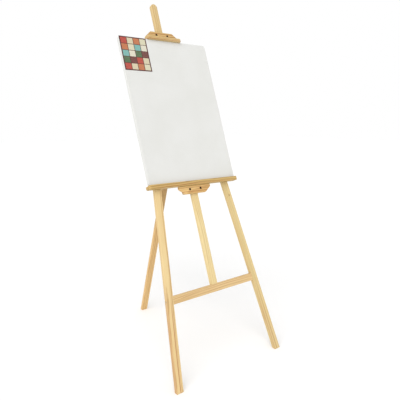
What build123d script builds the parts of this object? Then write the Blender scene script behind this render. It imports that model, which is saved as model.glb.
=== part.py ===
"""Wooden artist easel: a leaning A-frame of pine battens with a central mast, a hinged rear leg,
a sliding ledge and a sliding top clamp on the mast, and a stretched canvas held between them.

Everything in front of the rear leg is drawn in an upright working frame: X to the right, Z up along
the mast and Y to the back, with the battens' front faces at Y = 0. lean() then tips it back about
the front feet and centres the footprint on the origin. Millimetres.
"""
import os
from math import atan, cos, degrees, radians, sin, sqrt, tan
from build123d import *

# ---- driving dimensions -------------------------------------------------------------------
LEAN = 20.4                 # how far the front frame leans back, degrees
BAT_W, BAT_T = 34.0, 18.0   # pine batten, width and thickness
EASE = 1.6                  # eased batten edges
LEG_X0 = 295.3              # leg centre line at the floor, from the mast's centre
LEG_K = 0.1119              # how much the legs close in per unit of height
LEG_TOP = 1262.0
MAST_TOP = 1797.0
CB_U, CB_H = 374.5, 36.0    # lower crossbar, middle height and depth
YOKE_U0, YOKE_U1, YOKE_X = 1136.0, 1228.0, 168.0   # upper crosspiece behind the legs
PIN_U, PIN_GAP = 1167.1, 3.6                       # rear leg hinge pin height; pin to wood
OPEN = 38.03                # angle between the rear leg and the frame when open
KN_R, LEAF_T, PIN_R = 3.4, 1.5, 1.5
HINGE_W, LEAF_L = 30.0, 26.0
PLATE_T = 12.0              # clamp and ledge plates
PLATE_W = 92.0              # their half width at the wide end
LEDGE_NARROW, CLIP_NARROW = 58.0, 62.0   # and at the narrow end, ledge and clamp
LEDGE_U0, LEDGE_U1, LEDGE_X, LEDGE_N = 864.0, 884.3, 259.5, 34.0
SEAT_U = 880.0              # shelf behind the ledge's front lip
LIP_U0, LIP_U1, LIP_X, LIP_N = 1590.5, 1608.0, 98.0, 30.0
CANVAS_X, CANVAS_MID = 250.8, 2.6                  # half width over the cloth; how far it stands off centre
CANVAS_U0, CANVAS_U1, CANVAS_R = 880.3, 1592.7, 13.0
CLOTH = 0.8                 # primed cloth
BAR_N0, BAR_N1 = 1.6, 15.0  # stretcher bars, back and front
BAR_W, BAR_DROP = 36.0, 2.0 # bar width, and how far its face falls away towards the inside
LIP_GAP = 0.8               # cloth's face to the lips in front of it
CARD = (-245.4, -103.6, 1425.2, 1591.6)            # card on the canvas: x0, x1, u0, u1
CARD_T = 0.4
BOLT_X, BOLT_R, HEAD_R = 31.5, 3.0, 5.6
SEAT_D = 2.0                # how deep the bolt heads sit in the front plates
TRAY_BOLT_U, CLAMP_BOLT_U = 847.5, 1622.0
RUN = 0.3                   # gap between sliding faces

a = radians(LEAN)
k = atan(LEG_K)
# rear leg, as a line in the side view: direction from the hinge down to the floor
g = radians(OPEN)
PIN_Y = 2 * BAT_T + PIN_GAP
leg_d = (sin(g), -cos(g))        # (y, u) down the rear leg
leg_m = (-cos(g), -sin(g))       # (y, u) from the leg into the wedge, towards the frame


def rear_line(off, s):
    """Point (y, u) on the rear leg: off from the pin away from the frame, s down the leg."""
    return (PIN_Y - leg_m[0] * off + leg_d[0] * s, PIN_U - leg_m[1] * off + leg_d[1] * s)


def floor_s(off):
    """Distance down the rear leg at which that line meets the floor, u cos a = y sin a."""
    y0, u0 = rear_line(off, 0)
    return (u0 * cos(a) - y0 * sin(a)) / (leg_d[0] * sin(a) - leg_d[1] * cos(a))


yb, ub = rear_line(PIN_GAP + BAT_T, floor_s(PIN_GAP + BAT_T))
Y_BACK = yb * cos(a) + ub * sin(a)     # rear foot's back edge on the floor
Y_SHIFT = -Y_BACK / 2


def lean(shape):
    return Pos(0, Y_SHIFT, 0) * Rot(X=-LEAN) * shape


def box(x0, x1, y0, y1, z0, z1):
    return Pos((x0 + x1) / 2, (y0 + y1) / 2, (z0 + z1) / 2) * Box(x1 - x0, y1 - y0, z1 - z0)


def prism(points, y0, y1):
    """A polygon in X, Z drawn through y0 to y1."""
    face = make_face(Polyline(*[(x, 0, z) for x, z in points], close=True))
    return Pos(0, y0, 0) * extrude(face, amount=y1 - y0, dir=(0, 1, 0))


def at(x, y, z, d):
    """Placement with local +Z along d."""
    return Plane(origin=(x, y, z), z_dir=d).location


def screw(length, r=1.8, head_r=3.6, slot=True):
    """Countersunk wood screw: flat head at z = 0, point down at -length, cross recess in the head."""
    h = head_r - r
    s = Pos(0, 0, -h / 2) * Cone(r, head_r, h)
    s += Pos(0, 0, -(h + length - 3) / 2) * Cylinder(r, length - 3 - h)
    s += Pos(0, 0, -(length - 1.5)) * Cone(0.35, r, 3)
    if slot:
        for ang in (0, 90):
            s -= Rot(Z=ang) * (Pos(0, 0, -0.5) * Box(head_r * 1.05, 0.9, 1.2))
    return s


def screw_hole(length, r=1.8, head_r=3.6, up=3.0):
    """Room for that screw, a touch larger, open above the head."""
    h = head_r - r
    s = Pos(0, 0, -h / 2) * Cone(r + 0.03, head_r + 0.03, h)
    s += Pos(0, 0, -(length + 0.2) / 2) * Cylinder(r + 0.03, length + 0.2)
    s += Pos(0, 0, up / 2) * Cylinder(head_r + 0.03, up)
    return s


parts = {}
floor_cut = Pos(0, 0, -500) * Box(4000, 4000, 1000)

# ---- front legs ---------------------------------------------------------------------------
leg_len = (LEG_TOP + 80) / cos(k)
leg = Pos(0, BAT_T / 2, leg_len / 2) * Box(BAT_W, BAT_T, leg_len)
leg = fillet(leg.edges().filter_by(Axis.Z), EASE)
leg = fillet(leg.edges().group_by(Axis.Z)[-1].filter_by(Axis.Y), 5)
left_leg = Pos(-LEG_X0 - 80 * tan(k), 0, -80) * Rot(Y=degrees(k)) * leg
right_leg = Pos(LEG_X0 + 80 * tan(k), 0, -80) * Rot(Y=-degrees(k)) * leg

# ---- lower crossbar, its ends cut to the legs ----------------------------------------------
half = BAT_W / 2 / cos(k) + 0.05


def inner(u):
    return LEG_X0 - LEG_K * u - half


c0, c1 = CB_U - CB_H / 2, CB_U + CB_H / 2
crossbar = prism([(-inner(c0), c0), (inner(c0), c0), (inner(c1), c1), (-inner(c1), c1)], 0.4, BAT_T - 0.4)
crossbar = fillet(crossbar.edges().filter_by(Axis.X), 1.4)

# ---- mast with a round head -----------------------------------------------------------------
m0, m1 = c1 + 0.05, MAST_TOP - BAT_W / 2
w = BAT_W / 2
outline = Polyline((w, 0, m1), (w, 0, m0), (-w, 0, m0), (-w, 0, m1)) + ThreePointArc((-w, 0, m1), (0, 0, MAST_TOP), (w, 0, m1))
mast = extrude(make_face(outline), amount=BAT_T, dir=(0, 1, 0))
rim = [e for e in mast.edges() if abs(e.center().Z - m0) > 1 and abs(e.bounding_box().size.Y) < 0.01]
mast = fillet(rim, EASE)

# ---- upper crosspiece behind the legs and mast ---------------------------------------------
yoke = box(-YOKE_X, YOKE_X, BAT_T + 0.02, 2 * BAT_T, YOKE_U0, YOKE_U1)
yoke = fillet(yoke.edges().filter_by(Axis.Y), 8)
yoke = fillet(yoke.faces().sort_by(Axis.Y)[-1].edges(), 1.4)

# ---- rear leg, its head bevelled so that it stops flat on the crosspiece -------------------
stop_y = 2 * BAT_T + RUN


def head_s(off):
    y0, _ = rear_line(off, 0)
    return (stop_y - y0) / leg_d[0]


f, b = PIN_GAP, PIN_GAP + BAT_T
side = [rear_line(f, head_s(f)), rear_line(b, head_s(b)), rear_line(b, floor_s(b) + 40), rear_line(f, floor_s(f) + 40)]
rface = make_face(Polyline(*[(0, y, u) for y, u in side], close=True))
rear_leg = Pos(-BAT_W / 2, 0, 0) * extrude(rface, amount=BAT_W, dir=(1, 0, 0))
long_edges = [e for e in rear_leg.edges() if e.length > 500]
rear_leg = fillet(long_edges, EASE)

# ---- hinge between the crosspiece and the rear leg ------------------------------------------
third = HINGE_W / 3


def hinge_leaf(spans):
    """Leaf in its own frame: pin along X at the origin, leaf hanging down -Z, wood face at y = -PIN_GAP."""
    s = box(-HINGE_W / 2, HINGE_W / 2, -PIN_GAP + 0.05, -PIN_GAP + 0.05 + LEAF_T, -LEAF_L, -3.2)
    s = fillet([e for e in s.edges().filter_by(Axis.Y) if e.center().Z < -10], 3)
    for x0, x1 in spans:
        s += box(x0, x1, -PIN_GAP + 0.05, -PIN_GAP + 0.05 + LEAF_T, -3.4, 0)
        s += Pos((x0 + x1) / 2, 0, 0) * Rot(Y=90) * Cylinder(KN_R, x1 - x0)
    s -= Rot(Y=90) * Cylinder(PIN_R + 0.05, HINGE_W + 2)
    return s


holes = [(-8.5, -12.0), (8.5, -12.0), (0.0, -20.0)]
hs_r, hs_head = 1.5, 3.0
fixed_local = hinge_leaf([(-HINGE_W / 2, -third / 2 - 0.15), (third / 2 + 0.15, HINGE_W / 2)])
moving_local = hinge_leaf([(-third / 2 + 0.15, third / 2 - 0.15)])
screw_y = -PIN_GAP + 0.05 + LEAF_T


def hinge_screws(length, tool):
    return [Pos(x, screw_y, z) * Rot(X=-90) * tool for x, z in holes]


for t in hinge_screws(1, screw_hole(16, hs_r, hs_head)):
    fixed_local -= t
    moving_local -= t
to_frame = Pos(0, PIN_Y, PIN_U)                                  # leaf on the crosspiece's back
to_leg = Pos(0, PIN_Y, PIN_U) * Rot(X=OPEN) * Rot(Z=180)          # leaf on the rear leg's front face
fixed_screws = [to_frame * s for s in hinge_screws(1, screw(30, hs_r, hs_head))]
moving_screws = [to_leg * s for s in hinge_screws(1, screw(15, hs_r, hs_head))]
fixed_holes = [to_frame * s for s in hinge_screws(1, screw_hole(30, hs_r, hs_head))]
moving_holes = [to_leg * s for s in hinge_screws(1, screw_hole(15, hs_r, hs_head))]
for t in fixed_holes:
    yoke -= t
    mast -= t
for t in moving_holes:
    rear_leg -= t
pin = Rot(Y=90) * Cylinder(PIN_R, HINGE_W + 0.6)
for sx in (-1, 1):
    pin += Pos(sx * (HINGE_W / 2 + 0.3 + 0.45), 0, 0) * Rot(Y=90) * Cylinder(2.3, 0.9)
pin = to_frame * pin

# ---- frame screws --------------------------------------------------------------------------
cb_screws, cb_holes = [], []
for sx in (-1, 1):
    x_out = sx * (LEG_X0 - LEG_K * CB_U + BAT_W / 2 / cos(k) - 2.2)
    loc = at(x_out, BAT_T / 2, CB_U, (sx, 0, 0))
    cb_screws.append(loc * screw(70, 2.2, 4.2))
    cb_holes.append(loc * screw_hole(70, 2.2, 4.2, up=8))
loc = at(0, BAT_T / 2, c0 + 0.4, (0, 0, -1))
mast_screw, mast_hole = loc * screw(80, 2.2, 4.2), loc * screw_hole(80, 2.2, 4.2)
yoke_screws, yoke_holes = [], []
for x, u in [(sx * (LEG_X0 - LEG_K * u), u) for sx in (-1, 1) for u in (1156.0, 1208.0)] + [(0, 1219.0)]:
    loc = at(x, 2 * BAT_T - 0.2, u, (0, 1, 0))
    yoke_screws.append(loc * screw(30, 2.0, 4.0))
    yoke_holes.append(loc * screw_hole(30, 2.0, 4.0))
for h in cb_holes:
    left_leg -= h
    right_leg -= h
    crossbar -= h
crossbar -= mast_hole
mast -= mast_hole
for h in yoke_holes:
    yoke -= h
    left_leg -= h
    right_leg -= h
    mast -= h


# ---- sliding holders on the mast ------------------------------------------------------------
def front_plate(u_narrow, up, depth, narrow):
    """Trapezoid plate in front of the mast: narrow edge at u_narrow, widening towards the canvas."""
    pts = [(0.0, narrow), (26.0, PLATE_W), (depth, PLATE_W)]
    poly = [(-x, u_narrow + up * d) for d, x in pts] + [(x, u_narrow + up * d) for d, x in reversed(pts)]
    s = prism(poly, -PLATE_T, -RUN)
    s = fillet([e for e in s.edges().filter_by(Axis.Y)], 2.5)
    return fillet(s.faces().sort_by(Axis.Y)[0].edges(), 1.5)


def rear_plate(u):
    s = box(-52, 52, BAT_T + RUN, BAT_T + RUN + PLATE_T, u - 17, u + 17)
    s = fillet(s.edges().filter_by(Axis.Y), 6)
    return fillet(s.faces().sort_by(Axis.Y)[-1].edges(), 1.5)


def bolt(u, x):
    """Carriage bolt: low domed head sunk in the front plate, shank past the mast to the wing nut."""
    head_y = -PLATE_T + SEAT_D
    dome = Sphere(9.0) & Pos(0, 0, 9.0) * Box(40, 40, 6.0)
    dome = Pos(0, 0, -6.0) * dome & Cylinder(HEAD_R, 40)
    s = dome + Pos(0, 0, -30.0) * Cylinder(BOLT_R, 60.0) + Pos(0, 0, -1.6) * Box(6.0, 6.0, 3.2)
    s = chamfer(s.faces().sort_by(Axis.Z)[0].edges(), 0.8)
    return at(x, head_y, u, (0, -1, 0)) * s


def bolt_hole(u, x):
    head_y = -PLATE_T + SEAT_D
    s = Pos(0, 0, -30) * Cylinder(BOLT_R + 0.2, 61) + Pos(0, 0, 5) * Cylinder(HEAD_R + 0.25, 10.02) + Pos(0, 0, -1.6) * Box(6.2, 6.2, 3.25)
    return at(x, head_y, u, (0, -1, 0)) * s


NUT_Y = BAT_T + RUN + PLATE_T + 1.3      # nut's seat, past a 1.2 mm washer
WING_R = 12.8


def wing_nut(u, x, turn):
    """Wing nut on the bolt, hub seat towards the frame, wings to the back."""
    s = Pos(0, 0, 1.0) * Cylinder(6.2, 2.0) + Pos(0, 0, 5.5) * Cone(5.8, 4.7, 7.0)
    wing = Polyline((3.0, 0, 2.2), (6.0, 0, 2.2), (WING_R - 2.6, 0, 7.2), (WING_R, 0, 10.0), (WING_R - 0.4, 0, 12.6), (WING_R - 2.6, 0, 13.6), (9.0, 0, 12.2), (5.0, 0, 8.6), (3.0, 0, 8.6), close=True)
    blade = extrude(make_face(wing), amount=1.25, dir=(0, 1, 0), both=True)
    blade = fillet([e for e in blade.edges().filter_by(Axis.Y) if e.center().X > 8.0], 1.0)
    s = s + blade + Rot(Z=180) * blade
    s -= Pos(0, 0, 8) * Cylinder(BOLT_R + 0.05, 30)
    return at(x, NUT_Y, u, (0, 1, 0)) * Rot(Z=turn) * s


def washer(u, x):
    s = Pos(0, 0, 0.6) * (Cylinder(8.0, 1.2) - Cylinder(BOLT_R + 0.2, 2))
    return at(x, BAT_T + RUN + PLATE_T + 0.02, u, (0, 1, 0)) * s


def holder(name, u_narrow, up, depth, narrow, bolt_u, turns):
    plate, back = front_plate(u_narrow, up, depth, narrow), rear_plate(bolt_u)
    for x in (-BOLT_X, BOLT_X):
        plate -= bolt_hole(bolt_u, x)
        back -= bolt_hole(bolt_u, x)
    parts[name + "_rear_plate"] = lean(back)
    parts[name + "_bolts"] = Compound([lean(bolt(bolt_u, x)) for x in (-BOLT_X, BOLT_X)])
    parts[name + "_washers"] = Compound([lean(washer(bolt_u, x)) for x in (-BOLT_X, BOLT_X)])
    for side, x, turn in (("left", -BOLT_X, turns[0]), ("right", BOLT_X, turns[1])):
        parts[f"{name}_wing_nut_{side}"] = lean(wing_nut(bolt_u, x, turn))
    return plate


def round_ends(shape, x, u0, u1, r):
    """Rounds a rail's two ends as seen from the front."""
    cap = box(-x - 0.02, x + 0.02, -60, 10, u0 - 0.02, u1 + 0.02)
    return shape & fillet(cap.edges().filter_by(Axis.Y), r)


# ledge: a rounded rail in front of the mast and legs, with a shelf for the canvas behind a low front lip
ledge = box(-LEDGE_X, LEDGE_X, -LEDGE_N, -RUN - 0.2, LEDGE_U0, LEDGE_U1)
ledge = fillet([e for e in ledge.edges().filter_by(Axis.Z) if e.center().Y < -20], 13)
ledge = fillet([e for e in ledge.edges().filter_by(Axis.Z) if e.center().Y > -2], 4)
ledge = fillet([e for e in ledge.edges() if abs(e.center().Z - LEDGE_U1) < 0.01], 3.6)
ledge = fillet([e for e in ledge.edges() if abs(e.center().Z - LEDGE_U0) < 0.01], 3.2)
ledge = round_ends(ledge, LEDGE_X, LEDGE_U0, LEDGE_U1, 9.0)
LIP_Y = -BAR_N1 - CLOTH - LIP_GAP       # back of both lips
ledge -= box(-LEDGE_X - 5, LEDGE_X + 5, LIP_Y, 5, SEAT_U, LEDGE_U1 + 5)
TRAY_NARROW = TRAY_BOLT_U - 21.5
tray_plate = holder("ledge", TRAY_NARROW, 1, LEDGE_U0 - 0.03 - TRAY_NARROW, LEDGE_NARROW, TRAY_BOLT_U, (25, -40))

# clamp: a short rail of the same kind above the canvas, its front lip reaching down over the canvas's edge
lip = box(-LIP_X, LIP_X, -LIP_N, -RUN - 0.2, LIP_U0, LIP_U1)
lip = fillet([e for e in lip.edges().filter_by(Axis.Z) if e.center().Y < -20], 10)
lip = fillet([e for e in lip.edges().filter_by(Axis.Z) if e.center().Y > -2], 3)
lip = fillet([e for e in lip.edges() if abs(e.center().Z - LIP_U1) < 0.01 and e.center().Y < -PLATE_T - 1], 3.0)
lip = fillet([e for e in lip.edges() if abs(e.center().Z - LIP_U0) < 0.01 and e.center().Y < -20.8], 2.0)
lip = round_ends(lip, LIP_X, LIP_U0, LIP_U1, 6.5)
lip -= box(-LIP_X - 5, LIP_X + 5, LIP_Y, 5, LIP_U0 - 5, CANVAS_U1 + 0.6)
CLAMP_NARROW = CLAMP_BOLT_U + 16.6
clamp_plate = holder("clamp", CLAMP_NARROW, -1, CLAMP_NARROW - LIP_U1 - 0.03, CLIP_NARROW, CLAMP_BOLT_U, (60, 10))


def rail_screws(u, d, length):
    """Screws through a plate's narrow edge into the rail beyond it."""
    tools = []
    for x in (-47.0, 0.0, 47.0):
        loc = at(x, -PLATE_T / 2 - 0.2, u, (0, 0, d))
        tools.append((loc * screw(length, 1.7, 3.4), loc * screw_hole(length, 1.7, 3.4)))
    return tools


ledge_tools = rail_screws(TRAY_NARROW + 0.6, -1, 48.0)
lip_tools = rail_screws(CLAMP_NARROW - 0.6, 1, 42.0)
for s, h in ledge_tools:
    tray_plate -= h
    ledge -= h
for s, h in lip_tools:
    clamp_plate -= h
    lip -= h

# ---- stretched canvas: mitred bars, cloth on their face, staples behind, card on the corner ----
cx0, cx1 = CANVAS_MID - CANVAS_X, CANVAS_MID + CANVAS_X
sheet = box(cx0, cx1, -BAR_N1 - CLOTH, -BAR_N1 - 0.02, CANVAS_U0, CANVAS_U1)
sheet = fillet(sheet.edges().filter_by(Axis.Y), CANVAS_R)
bx0, bx1, bu0, bu1 = cx0 + CLOTH, cx1 - CLOTH, CANVAS_U0 + CLOTH, CANVAS_U1 - CLOTH
bars_all = box(bx0, bx1, -BAR_N1, -BAR_N0, bu0, bu1)
bars_all = fillet(bars_all.edges().filter_by(Axis.Y), CANVAS_R - CLOTH)


def bar(p0, p1, inward):
    """One bar from corner p0 to p1: its face falls away inward, its ends are mitred."""
    (ax, au), (bx, bu) = p0, p1
    length = abs(bx - ax) + abs(bu - au)
    prof = make_face(Polyline((0, -BAR_N1, 0), (0, -BAR_N1 + BAR_DROP, BAR_W), (0, -BAR_N0, BAR_W), (0, -BAR_N0, 0), close=True))
    s = Pos(-length / 2, 0, 0) * extrude(prof, amount=length, dir=(1, 0, 0))
    keep = prism([(-length / 2 + 0.03, 0), (length / 2 - 0.03, 0), (length / 2 - BAR_W - 0.03, BAR_W), (-length / 2 + BAR_W + 0.03, BAR_W)], -40, 10)
    s = s & keep
    turn = {"up": 0, "down": 180, "right": 90, "left": -90}[inward]
    return (Pos((ax + bx) / 2, 0, (au + bu) / 2) * Rot(Y=turn) * s) & bars_all


bars = {
    "stretcher_bottom": bar((bx0, bu0), (bx1, bu0), "up"),
    "stretcher_top": bar((bx0, bu1), (bx1, bu1), "down"),
    "stretcher_left": bar((bx0, bu0), (bx0, bu1), "right"),
    "stretcher_right": bar((bx1, bu0), (bx1, bu1), "left"),
}
staple_at = []
for i in range(7):
    x = bx0 + 45 + i * (bx1 - bx0 - 90) / 6
    staple_at += [(x, bu0 + 17.0, 0), (x, bu1 - 17.0, 0)]
for i in range(9):
    u = bu0 + 60 + i * (bu1 - bu0 - 120) / 8
    staple_at += [(bx0 + 17.0, u, 90), (bx1 - 17.0, u, 90)]
st = box(-5.0, 5.0, -0.5, 0, -0.35, 0.35)
for sx in (-4.65, 4.65):
    st += box(sx - 0.35, sx + 0.35, -7.5, 0, -0.3, 0.3)
staples = [Pos(x, -BAR_N0 + CLOTH + 0.5, u) * Rot(Y=t) * st for x, u, t in staple_at]
x0, x1, u0, u1 = CARD
card = box(x0, x1, -BAR_N1 - CLOTH - CARD_T, -BAR_N1 - CLOTH, u0, u1)
card = fillet(card.edges().filter_by(Axis.Y), 1.2)

# ---- node list ------------------------------------------------------------------------------
parts["left_front_leg"] = lean(left_leg) - floor_cut
parts["right_front_leg"] = lean(right_leg) - floor_cut
parts["lower_crossbar"] = lean(crossbar)
parts["mast"] = lean(mast)
parts["upper_crosspiece"] = lean(yoke)
parts["rear_leg"] = lean(rear_leg) - floor_cut
parts["hinge_leaf_fixed"] = lean(to_frame * fixed_local)
parts["hinge_leaf_moving"] = lean(to_leg * moving_local)
parts["hinge_pin"] = lean(pin)
parts["hinge_screws_fixed"] = Compound([lean(s) for s in fixed_screws])
parts["hinge_screws_moving"] = Compound([lean(s) for s in moving_screws])
parts["crossbar_screws"] = Compound([lean(s) for s in cb_screws])
parts["mast_foot_screw"] = lean(mast_screw)
parts["crosspiece_screws"] = Compound([lean(s) for s in yoke_screws])
parts["ledge_rail"] = lean(ledge)
parts["ledge_front_plate"] = lean(tray_plate)
parts["ledge_screws"] = Compound([lean(s) for s, _ in ledge_tools])
parts["clamp_lip"] = lean(lip)
parts["clamp_front_plate"] = lean(clamp_plate)
parts["clamp_screws"] = Compound([lean(s) for s, _ in lip_tools])
parts["canvas_sheet"] = lean(sheet)
for name, shape in bars.items():
    parts[name] = lean(shape)
parts["canvas_staples"] = Compound([lean(s) for s in staples])
parts["colour_card"] = lean(card)

if __name__ == "__main__":
    os.makedirs("parts", exist_ok=True)
    for name, shape in parts.items():
        export_step(shape, f"parts/{name}.step")
    print("Y_SHIFT", round(Y_SHIFT, 3), "Y_BACK", round(Y_BACK, 3))
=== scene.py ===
from math import atan, cos, pi, radians, sin

import bpy
from mathutils import Matrix, Vector

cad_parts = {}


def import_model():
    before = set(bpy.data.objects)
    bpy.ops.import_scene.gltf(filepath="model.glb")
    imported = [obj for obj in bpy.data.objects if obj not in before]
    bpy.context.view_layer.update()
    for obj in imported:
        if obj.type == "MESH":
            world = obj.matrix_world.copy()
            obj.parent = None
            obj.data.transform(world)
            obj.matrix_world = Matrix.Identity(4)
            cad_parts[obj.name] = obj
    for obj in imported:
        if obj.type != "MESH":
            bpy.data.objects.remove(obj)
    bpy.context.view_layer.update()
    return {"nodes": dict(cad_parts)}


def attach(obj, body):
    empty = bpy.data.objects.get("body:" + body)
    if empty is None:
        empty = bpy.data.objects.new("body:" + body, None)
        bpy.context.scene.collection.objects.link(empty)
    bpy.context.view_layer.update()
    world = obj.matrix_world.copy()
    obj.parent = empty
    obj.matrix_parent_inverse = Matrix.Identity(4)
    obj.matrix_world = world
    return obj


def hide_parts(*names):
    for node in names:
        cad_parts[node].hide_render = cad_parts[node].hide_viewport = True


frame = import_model()
nodes = frame["nodes"]

LEAN = radians(20.4)
Y_SHIFT = -0.404925
OPEN = radians(38.03)
LEG = atan(0.1119)


def world(x, n, u):
    """Point on the leaning frame, in metres: x to the right, n forward of the battens' face, u up the mast."""
    return Vector((x, u * sin(LEAN) - n * cos(LEAN) + Y_SHIFT, u * cos(LEAN) + n * sin(LEAN)))


UP = Vector((0, sin(LEAN), cos(LEAN)))       # up the mast
OUT = Vector((0, -cos(LEAN), sin(LEAN)))     # out of the frame's front
RIGHT = Vector((1, 0, 0))


# ---- node tree helpers ---------------------------------------------------------------------
class Tree:
    def __init__(self, name):
        self.mat = bpy.data.materials.new(name)
        self.mat.use_nodes = True
        self.nt = self.mat.node_tree
        self.nt.nodes.clear()
        self.out = self.nt.nodes.new("ShaderNodeOutputMaterial")
        self.bsdf = self.nt.nodes.new("ShaderNodeBsdfPrincipled")
        self.nt.links.new(self.bsdf.outputs[0], self.out.inputs[0])

    def link(self, a, b):
        self.nt.links.new(a, b)

    def put(self, sock, value):
        if isinstance(value, bpy.types.NodeSocket):
            self.link(value, sock)
        else:
            sock.default_value = value

    def math(self, op, a, b=0.0, c=0.0):
        n = self.nt.nodes.new("ShaderNodeMath")
        n.operation = op
        for i, v in enumerate((a, b, c)):
            self.put(n.inputs[i], v)
        return n.outputs[0]

    def coords(self, origin, along, across):
        """Object coordinates in a frame at origin, with Z along the grain and X across it."""
        z = Vector(along).normalized()
        x = (Vector(across) - z * Vector(across).dot(z)).normalized()
        m = Matrix((x, z.cross(x), z)).transposed()
        tc = self.nt.nodes.new("ShaderNodeTexCoord")
        mp = self.nt.nodes.new("ShaderNodeMapping")
        mp.vector_type = "TEXTURE"
        mp.inputs["Location"].default_value = origin
        mp.inputs["Rotation"].default_value = m.to_euler("XYZ")
        self.link(tc.outputs["Object"], mp.inputs["Vector"])
        return mp.outputs[0]

    def split(self, v):
        n = self.nt.nodes.new("ShaderNodeSeparateXYZ")
        self.link(v, n.inputs[0])
        return n.outputs

    def join(self, x, y, z):
        n = self.nt.nodes.new("ShaderNodeCombineXYZ")
        for i, v in enumerate((x, y, z)):
            self.put(n.inputs[i], v)
        return n.outputs[0]

    def noise(self, v, scale=1.0, detail=2.0, rough=0.5):
        n = self.nt.nodes.new("ShaderNodeTexNoise")
        n.inputs["Scale"].default_value = scale
        n.inputs["Detail"].default_value = detail
        n.inputs["Roughness"].default_value = rough
        self.link(v, n.inputs["Vector"])
        return n.outputs[0]

    def ramp(self, fac, stops, mode="LINEAR"):
        n = self.nt.nodes.new("ShaderNodeValToRGB")
        n.color_ramp.interpolation = mode
        e = n.color_ramp.elements
        while len(e) < len(stops):
            e.new(0.5)
        for i, (p, c) in enumerate(stops):
            e[i].position = p
            e[i].color = (*c, 1.0) if len(c) == 3 else c
        self.put(n.inputs[0], fac)
        return n.outputs[0]

    def mix(self, fac, a, b, mode="MIX"):
        n = self.nt.nodes.new("ShaderNodeMix")
        n.data_type = "RGBA"
        n.blend_type = mode
        self.put(n.inputs[0], fac)
        for s, v in ((n.inputs[6], a), (n.inputs[7], b)):
            if isinstance(v, bpy.types.NodeSocket):
                self.link(v, s)
            else:
                s.default_value = (*v, 1.0)
        return n.outputs[2]

    def smooth(self, v, lo, hi, a=0.0, b=1.0):
        n = self.nt.nodes.new("ShaderNodeMapRange")
        n.interpolation_type = "SMOOTHSTEP"
        self.put(n.inputs[0], v)
        for i, x in enumerate((lo, hi, a, b)):
            n.inputs[i + 1].default_value = x
        return n.outputs[0]

    def bump(self, height, strength, distance):
        n = self.nt.nodes.new("ShaderNodeBump")
        n.inputs["Strength"].default_value = strength
        n.inputs["Distance"].default_value = distance
        self.link(height, n.inputs["Height"])
        self.link(n.outputs[0], self.bsdf.inputs["Normal"])


def lin(r, g, b):
    """Colour as read on a screen, 0 to 255, to linear light."""
    return tuple(((c / 255 + 0.055) / 1.055) ** 2.4 if c > 10 else c / 255 / 12.92 for c in (r, g, b))


# ---- pine ----------------------------------------------------------------------------------
PALE = (lin(224, 200, 148), lin(213, 183, 126), lin(158, 112, 58))
WARM = (lin(216, 188, 134), lin(204, 172, 114), lin(146, 100, 52))
DEEP = (lin(206, 174, 116), lin(190, 154, 94), lin(132, 90, 44))


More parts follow.
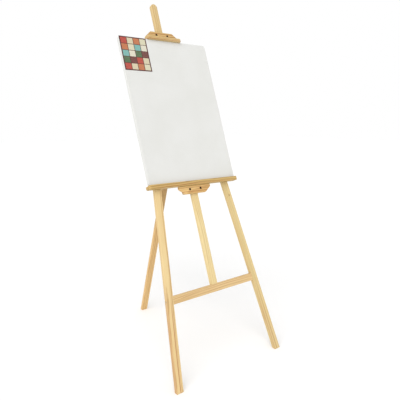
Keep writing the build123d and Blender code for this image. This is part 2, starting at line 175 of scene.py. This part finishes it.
def pine(name, origin, along, across, seed, tone=PALE, pith=(0.05, 0.03), ring=0.0052, knots=(), lines=(), contrast=1.0, tone_and_painted_shade_fades=(), tint=(1, 1, 1)):
    """Sawn pine: growth rings about a pith that runs beside the piece, fine fibres, slow changes of tone along it,
    knots, and fades that darken set stretches, partly its own tone and partly painted shade.
    """
    tone = tuple(tuple(c * k for c, k in zip(one, tint)) for one in tone)
    t = Tree(name)
    v = t.coords(origin, along, across)
    x, y, z = t.split(v)
    sz = t.math("ADD", z, seed * 3.7)
    slow = t.noise(t.join(t.math("MULTIPLY", x, 6.0), t.math("MULTIPLY", y, 6.0), t.math("MULTIPLY", sz, 2.2)), 1.0, 2.0)
    wob = t.noise(t.join(t.math("MULTIPLY", x, 25.0), t.math("MULTIPLY", y, 25.0), t.math("MULTIPLY", sz, 5.0)), 1.0, 3.0)
    # the pith wanders along the length, so rings open into long arches on the faces
    px = t.math("ADD", t.math("ADD", x, pith[0]), t.math("MULTIPLY", t.math("SUBTRACT", slow, 0.5), 0.05))
    py = t.math("ADD", t.math("ADD", y, pith[1]), t.math("MULTIPLY", t.math("SUBTRACT", wob, 0.5), 0.006))
    r = t.math("SQRT", t.math("ADD", t.math("MULTIPLY", px, px), t.math("MULTIPLY", py, py)))
    grain = t.math("FRACT", t.math("DIVIDE", r, ring))
    fine = t.noise(t.join(t.math("MULTIPLY", x, 900.0), t.math("MULTIPLY", y, 900.0), t.math("MULTIPLY", sz, 9.0)), 1.0, 3.0, 0.6)
    streak = t.noise(t.join(t.math("MULTIPLY", x, 160.0), t.math("MULTIPLY", y, 160.0), t.math("MULTIPLY", sz, 3.0)), 1.0, 2.0)
    late = t.ramp(grain, [(0.0, (0, 0, 0)), (0.45, (0.12, 0.12, 0.12)), (0.80, (0.75, 0.75, 0.75)), (0.93, (1, 1, 1)), (1.0, (0, 0, 0))])
    strength = t.smooth(streak, 0.30, 0.70, 0.40 * contrast, contrast)
    col = t.mix(t.math("MULTIPLY", late, strength), tone[0], tone[2])
    col = t.mix(t.smooth(slow, 0.35, 0.70, 0.0, 0.55), col, tone[1])
    col = t.mix(t.smooth(fine, 0.42, 0.75, 0.0, 0.22), col, tone[2])
    # single heavy lines, latewood save one painted shadow line on the clamp lip: place across, half width, from, to
    # and how strong; a pale one where that is negative
    for lx, lw, z0, z1, ls in lines:
        off = t.math("ADD", t.math("SUBTRACT", x, lx), t.math("MULTIPLY", t.math("SUBTRACT", slow, 0.5), 0.012))
        m = t.smooth(t.math("ABSOLUTE", off), lw * 0.3, lw, abs(ls), 0.0)
        m = t.math("MULTIPLY", m, t.math("MULTIPLY", t.smooth(z, z0 - 0.06, z0 + 0.06), t.smooth(z, z1 - 0.12, z1 + 0.12, 1.0, 0.0)))
        m = t.math("MULTIPLY", m, t.smooth(fine, 0.25, 0.6, 0.55, 1.0))
        col = t.mix(m, col, lin(160, 90, 44) if ls > 0 else lin(240, 210, 156))
    for kx, ky, kz, kr in knots:
        dx = t.math("DIVIDE", t.math("SUBTRACT", x, kx), kr)
        dz = t.math("DIVIDE", t.math("SUBTRACT", z, kz), kr * 1.7)
        d = t.math("SQRT", t.math("ADD", t.math("MULTIPLY", dx, dx), t.math("MULTIPLY", dz, dz)))
        d = t.math("ADD", d, t.math("MULTIPLY", t.math("SUBTRACT", wob, 0.5), 0.5))
        col = t.mix(t.smooth(d, 0.5, 2.6, 0.55, 0.0), col, tone[2])
        col = t.mix(t.smooth(d, 0.35, 1.05, 0.9, 0.0), col, lin(120, 78, 42))
    # fades darken set stretches along the piece: partly the wood's own tone, partly painted shade
    for z0, z1, shade in tone_and_painted_shade_fades:
        col = t.mix(t.smooth(z, z0, z1), col, shade, "MULTIPLY")
    t.link(col, t.bsdf.inputs["Base Color"])
    t.link(t.smooth(fine, 0.3, 0.8, 0.46, 0.62), t.bsdf.inputs["Roughness"])
    t.bsdf.inputs["Specular IOR Level"].default_value = 0.35
    t.bump(t.math("ADD", fine, t.math("MULTIPLY", late, 0.5)), 0.25, 0.0004)
    return t.mat


def wear(node, mat):
    o = nodes[node]
    o.data.materials.clear()
    o.data.materials.append(mat)


legl = (UP * cos(LEG) + RIGHT * sin(LEG))
legr = (UP * cos(LEG) - RIGHT * sin(LEG))
rear_dir = -(UP * cos(OPEN) + OUT * sin(OPEN))
rear_top = world(0, -0.0396, 1.1671)

wear("left_front_leg", pine("pine_leg_left", world(-0.2953, 0, 0), legl, RIGHT, 1.0, pith=(0.012, 0.06), ring=0.0060, lines=((0.0035, 0.0022, -0.1, 0.36, 1.0), (-0.0165, 0.0060, -0.2, 0.38, 0.45), (0.0110, 0.0010, 0.0, 0.9, 0.4))))
wear("right_front_leg", pine("pine_leg_right", world(0.2953, 0, 0), legr, RIGHT, 2.3, WARM, pith=(-0.055, 0.05), contrast=0.65, tint=(0.99, 1.09, 1.13), knots=((0.002, 0.0, 0.800, 0.0023),), lines=((0.0075, 0.0048, -0.1, 0.95, -0.30), (-0.0155, 0.0035, 0.36, 0.85, 0.14), (-0.0155, 0.0035, -0.1, 0.28, 0.45), (-0.0025, 0.0032, -0.1, 0.28, 0.65), (0.0110, 0.0014, -0.1, 0.28, 0.5))))
# upper mast darkened by a fade: partly its own tone, partly painted shade
wear("mast", pine("pine_mast", world(0, 0, 0.39), UP, RIGHT, 3.1, pith=(0.045, 0.06), ring=0.0058, contrast=0.55, tint=(1.0, 1.05, 1.07), tone_and_painted_shade_fades=((1.05, 1.25, (0.87, 0.80, 0.74)),)))
wear("lower_crossbar", pine("pine_crossbar", world(0, 0, 0.3745), RIGHT, UP, 4.6, WARM, pith=(0.03, 0.05), ring=0.0036, contrast=0.6, tint=(1.0, 0.98, 1.01), lines=((0.004, 0.0011, -0.25, 0.25, 0.6), (-0.008, 0.0010, -0.25, 0.1, 0.55), (0.012, 0.0008, -0.1, 0.25, 0.45))))
wear("upper_crosspiece", pine("pine_crosspiece", world(0, -0.018, 1.182), RIGHT, UP, 5.2, pith=(0.02, -0.07), ring=0.0066, knots=((-0.012, 0.0, 0.096, 0.006),)))
# upper rear leg darkened by a fade: partly its own tone, partly painted shade from the canvas and ledge above it
wear("rear_leg", pine("pine_leg_rear", rear_top, rear_dir, RIGHT, 6.4, WARM, pith=(-0.03, 0.06), tint=(1.06, 0.99, 0.94), tone_and_painted_shade_fades=((0.62, 0.42, (0.75, 0.73, 0.68)),)))
wear("ledge_rail", pine("pine_ledge_rail", world(0, 0.012, 0.87), RIGHT, UP, 7.7, DEEP, pith=(0.04, 0.05), tint=(0.94, 0.96, 0.86), lines=((-0.002, 0.0016, -0.20, 0.22, 0.9), (0.006, 0.0010, -0.3, 0.0, 0.5))))
# plate brightened by its tone and tint: painted light that offsets the ledge's shadow on it
wear("ledge_front_plate", pine("pine_ledge_plate", world(0, 0.0, 0.85), RIGHT, UP, 8.1, WARM, pith=(0.01, 0.06), ring=0.0066, tint=(1.16, 1.11, 1.00), lines=((-0.013, 0.0017, -0.2, 0.2, 1.0), (0.0045, 0.0015, -0.2, 0.2, 0.9), (-0.004, 0.0010, -0.2, 0.05, 0.7))))
wear("ledge_rear_plate", pine("pine_ledge_back", world(0, -0.018, 0.847), RIGHT, UP, 8.9, DEEP, pith=(0.03, -0.05)))
# the strong line at -0.0035 across is a painted shadow line along the lip's lower edge
wear("clamp_lip", pine("pine_clamp_lip", world(0, 0.012, 1.597), RIGHT, UP, 9.4, DEEP, pith=(0.05, 0.03), tint=(1.085, 1.20, 1.38), lines=((0.003, 0.0012, -0.2, 0.2, 0.6), (-0.0035, 0.0016, -0.2, 0.2, 1.0))))
wear("clamp_front_plate", pine("pine_clamp_plate", world(0, 0.0, 1.61), RIGHT, UP, 10.2, DEEP, pith=(0.02, 0.055), ring=0.0066, tint=(1.04, 1.05, 1.06), lines=((0.019, 0.0017, -0.2, 0.2, 1.0), (0.008, 0.0015, -0.2, 0.2, 0.9))))
wear("clamp_rear_plate", pine("pine_clamp_back", world(0, -0.018, 1.622), RIGHT, UP, 11.5, DEEP, pith=(-0.03, -0.05)))


# ---- metal ---------------------------------------------------------------------------------
def metal(name, base, dull, rough, metallic):
    t = Tree(name)
    v = t.coords((0, 0, 0), UP, RIGHT)
    big = t.noise(v, 260.0, 3.0)
    small = t.noise(v, 2600.0, 2.0)
    t.link(t.mix(t.smooth(big, 0.35, 0.7), base, dull), t.bsdf.inputs["Base Color"])
    t.link(t.smooth(small, 0.3, 0.7, rough - 0.07, rough + 0.09), t.bsdf.inputs["Roughness"])
    t.bsdf.inputs["Metallic"].default_value = metallic
    t.bump(small, 0.12, 0.0001)
    return t.mat


zinc = metal("zinc_steel", lin(196, 196, 192), lin(160, 160, 156), 0.36, 1.0)
dark = metal("dark_steel", lin(44, 27, 14), lin(28, 17, 9), 0.68, 0.0)
dark.node_tree.nodes["Principled BSDF"].inputs["Specular IOR Level"].default_value = 0.1
for n in nodes:
    if n.endswith("_bolts"):
        wear(n, dark)
    elif "screw" in n or "nut" in n or "washer" in n or "hinge" in n or "staple" in n:
        wear(n, zinc)

# ---- canvas: primed cloth drawn round pine bars and stapled behind ------------------------------
CX0, CX1, CU0, CU1, CR = -0.2482, 0.2534, 0.8803, 1.5927, 0.013
FACE_N, BACK_N, CLOTH_T, HEM = 0.0158, 0.0008, 0.0007, 0.0265

FRESH = (lin(226, 206, 162), lin(216, 192, 144), lin(172, 130, 78))
for name, seed, origin, along, across in (
    ("stretcher_bottom", 12.3, world(0, 0.008, CU0 + 0.019), RIGHT, UP),
    ("stretcher_top", 13.8, world(0, 0.008, CU1 - 0.019), RIGHT, UP),
    ("stretcher_left", 14.1, world(CX0 + 0.019, 0.008, 1.236), UP, RIGHT),
    ("stretcher_right", 15.6, world(CX1 - 0.019, 0.008, 1.236), UP, RIGHT),
):
    wear(name, pine("pine_" + name, origin, along, across, seed, FRESH, pith=(0.03, 0.045), contrast=0.75))


def outline(d, seg=8):
    """Points (x, u) of the canvas's rounded outline, drawn in by d."""
    r = max(CR - d, 0.0004)
    pts = []
    for x, u, start in ((CX1, CU1, 0.0), (CX0, CU1, 0.5 * pi), (CX0, CU0, pi), (CX1, CU0, 1.5 * pi)):
        ox = x - (d + r) if x == CX1 else x + d + r
        ou = u - (d + r) if u == CU1 else u + d + r
        for i in range(seg + 1):
            g = start + 0.5 * pi * i / seg
            pts.append((ox + r * cos(g), ou + r * sin(g)))
    return pts


def turn(n_flat, sign, r, t):
    """Section (d, n) of the cloth's bend between a face at n_flat and the side, t in from the outside."""
    return [(r - (r - t) * sin(g), n_flat - sign * (r - (r - t) * cos(g))) for g in (pi / 12 * i for i in range(7))]


def section(t):
    return [(0.006, FACE_N - t)] + turn(FACE_N, 1, 0.0011, t) + turn(BACK_N, -1, 0.0011, t)[::-1] + [(HEM, BACK_N + t)]


verts, faces, raw = [], [], []
count = len(outline(0.0))
for layer, t_in in enumerate((0.0, CLOTH_T)):
    base = len(verts)
    path = section(t_in)
    for d, n in path:
        verts += [world(x, n, u) for x, u in outline(d)]
    for k in range(len(path) - 1):
        for i in range(count):
            j = (i + 1) % count
            q = (base + k * count + i, base + (k + 1) * count + i, base + (k + 1) * count + j, base + k * count + j)
            faces.append(q if layer == 0 else q[::-1])
            raw.append(layer)
    cap = tuple(range(base, base + count))
    faces.append(cap if layer == 0 else cap[::-1])
    raw.append(layer)
rows = len(section(0.0))
o0, i0 = (rows - 1) * count, rows * count + (rows - 1) * count
for i in range(count):
    j = (i + 1) % count
    faces.append((o0 + i, i0 + i, i0 + j, o0 + j))
    raw.append(1)
mesh = bpy.data.meshes.new("canvas_cloth")
mesh.from_pydata([tuple(v) for v in verts], [], faces)
mesh.update()
cloth = bpy.data.objects.new("canvas_cloth", mesh)
bpy.context.scene.collection.objects.link(cloth)
for f, m in zip(mesh.polygons, raw):
    f.material_index = m
    f.use_smooth = True


def cloth_material(name, light, shade, weave, depth, rough):
    """Woven cotton: threads both ways, with slubs; a crease where the corners are folded behind, darkened as painted
    shade.
    """
    t = Tree(name)
    v = t.coords(world(0, 0, CU0), UP, RIGHT)
    x, y, z = t.split(v)
    slub = t.noise(t.join(t.math("MULTIPLY", x, 300.0), t.math("MULTIPLY", y, 300.0), t.math("MULTIPLY", z, 300.0)), 1.0, 3.0, 0.6)
    warp = t.math("SINE", t.math("ADD", t.math("MULTIPLY", x, 2 * pi / 0.0011), t.math("MULTIPLY", slub, 1.5)))
    weft = t.math("SINE", t.math("ADD", t.math("MULTIPLY", t.math("ADD", z, y), 2 * pi / 0.0011), t.math("MULTIPLY", slub, 1.5)))
    cross = t.math("MULTIPLY", warp, weft)
    tone = t.noise(v, 6.0, 3.0)
    col = t.mix(t.smooth(tone, 0.3, 0.7), light, shade)
    col = t.mix(t.smooth(cross, -1.0, 1.0, 0.0, weave), col, tuple(c * 0.72 for c in shade))
    col = t.mix(t.smooth(slub, 0.52, 0.80, 0.0, weave), col, tuple(c * 0.80 for c in shade))
    left = t.math("SUBTRACT", x, CX0)
    right = t.math("SUBTRACT", CX1, x)
    low = z
    high = t.math("SUBTRACT", CU1 - CU0, z)
    a = t.math("MINIMUM", left, right)
    b = t.math("MINIMUM", low, high)
    crease = t.smooth(t.math("ABSOLUTE", t.math("SUBTRACT", a, b)), 0.0002, 0.0008, 0.75, 0.0)
    crease = t.math("MULTIPLY", crease, t.smooth(t.math("MAXIMUM", a, b), HEM, HEM + 0.001, 1.0, 0.0))
    crease = t.math("MULTIPLY", crease, t.math("GREATER_THAN", y, -0.0030))
    # painted shade: the crease lines at the folded-back corners are darkened
    col = t.mix(crease, col, tuple(c * 0.35 for c in shade))
    t.link(col, t.bsdf.inputs["Base Color"])
    t.link(t.smooth(slub, 0.3, 0.7, rough - 0.06, rough + 0.08), t.bsdf.inputs["Roughness"])
    t.bsdf.inputs["Specular IOR Level"].default_value = 0.2
    t.bump(t.math("SUBTRACT", cross, t.math("MULTIPLY", crease, 3.0)), depth, 0.0002)
    return t.mat


mesh.materials.append(cloth_material("primed_canvas", lin(215, 215, 212), lin(211, 211, 207), 0.10, 0.18, 0.72))
mesh.materials.append(cloth_material("raw_canvas", lin(206, 192, 164), lin(194, 178, 148), 0.45, 0.45, 0.86))
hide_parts("canvas_sheet")
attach(cloth, "canvas")

# ---- card: a plain ladder of paint swatches --------------------------------------------------
t = Tree("printed_card")
v = t.coords(world(-0.2454, 0.0158, 1.4252), UP, RIGHT)
cx, cy, cz = t.split(v)
W, H = 0.1418, 0.1664
NX, NZ = 4, 5
M = 0.004
gx = t.math("DIVIDE", t.math("SUBTRACT", cx, M), (W - 2 * M) / NX)
gz = t.math("DIVIDE", t.math("SUBTRACT", cz, M), (H - 2 * M) / NZ)
ix, iz = t.math("FLOOR", gx), t.math("FLOOR", gz)
fx = t.math("ABSOLUTE", t.math("SUBTRACT", t.math("FRACT", gx), 0.5))
fz = t.math("ABSOLUTE", t.math("SUBTRACT", t.math("FRACT", gz), 0.5))
inside = t.math("LESS_THAN", t.math("MAXIMUM", fx, fz), 0.455)
for lo, hi, g in ((0, NX, gx), (0, NZ, gz)):
    inside = t.math("MULTIPLY", inside, t.math("MULTIPLY", t.math("GREATER_THAN", g, float(lo)), t.math("LESS_THAN", g, float(hi))))
index = t.math("FRACT", t.math("ADD", t.math("DIVIDE", t.math("ADD", t.math("MULTIPLY", ix, 3.0), t.math("MULTIPLY", iz, 2.0)), 8.0), 0.01))
hues = [lin(166, 44, 30), lin(198, 194, 166), lin(52, 90, 54), lin(196, 186, 156), lin(104, 164, 158), lin(92, 26, 30), lin(176, 98, 54), lin(204, 200, 182)]
paint = t.ramp(index, [(i / 8, c) for i, c in enumerate(hues)], "CONSTANT")
brush = t.noise(t.join(t.math("MULTIPLY", cx, 60.0), 0.0, t.math("MULTIPLY", cz, 900.0)), 1.0, 3.0, 0.6)
paint = t.mix(t.smooth(brush, 0.3, 0.7, 0.0, 0.12), paint, lin(238, 222, 196))
paper = t.mix(t.smooth(t.noise(v, 900.0, 3.0), 0.35, 0.7, 0.0, 0.6), lin(84, 40, 38), lin(66, 32, 32))
t.link(t.mix(inside, paper, paint), t.bsdf.inputs["Base Color"])
t.link(t.smooth(brush, 0.3, 0.7, 0.38, 0.52), t.bsdf.inputs["Roughness"])
wear("colour_card", t.mat)

# ---- floor, light, camera --------------------------------------------------------------------
bpy.ops.mesh.primitive_plane_add(size=40, location=(0, 0, -0.0005))
floor = bpy.context.object
floor.name = "floor"
t = Tree("floor_white")
v = t.coords((0, 0, 0), (0, 0, 1), RIGHT)
t.link(t.mix(t.noise(v, 3.0, 2.0), lin(255, 255, 255), lin(253, 253, 253)), t.bsdf.inputs["Base Color"])
t.bsdf.inputs["Roughness"].default_value = 0.9
floor.data.materials.append(t.mat)

wd = bpy.data.worlds.new("studio")
bpy.context.scene.world = wd
wd.use_nodes = True
wt = wd.node_tree
sky = wt.nodes["Background"]
tc = wt.nodes.new("ShaderNodeTexCoord")
sp = wt.nodes.new("ShaderNodeSeparateXYZ")
rp = wt.nodes.new("ShaderNodeValToRGB")
rp.color_ramp.elements[0].position, rp.color_ramp.elements[0].color = 0.30, (1.0, 1.0, 1.0, 1.0)
rp.color_ramp.elements[1].position, rp.color_ramp.elements[1].color = 0.60, (0.66, 0.66, 0.66, 1.0)
wt.links.new(tc.outputs["Generated"], sp.inputs[0])
wt.links.new(sp.outputs[2], rp.inputs[0])
wt.links.new(rp.outputs[0], sky.inputs[0])
sky.inputs[1].default_value = 1.0

sd = bpy.data.lights.new("key", "SUN")
sd.energy, sd.angle = 1.8, radians(60)
so = bpy.data.objects.new("key", sd)
bpy.context.scene.collection.objects.link(so)
so.rotation_euler = Vector((0.70, 0.50, -0.62)).to_track_quat("-Z", "Y").to_euler()

cam = bpy.data.cameras.new("photo_camera")
cam.sensor_width, cam.lens = 36.0, 38.84
co = bpy.data.objects.new("photo_camera", cam)
bpy.context.scene.collection.objects.link(co)
co.location = (-1.22014, -1.32717 + Y_SHIFT, 1.12477)
co.rotation_euler = (pi / 2 - 0.1867, 0, -0.6588)
bpy.context.scene.camera = co
bpy.context.scene.view_settings.view_transform = "Standard"
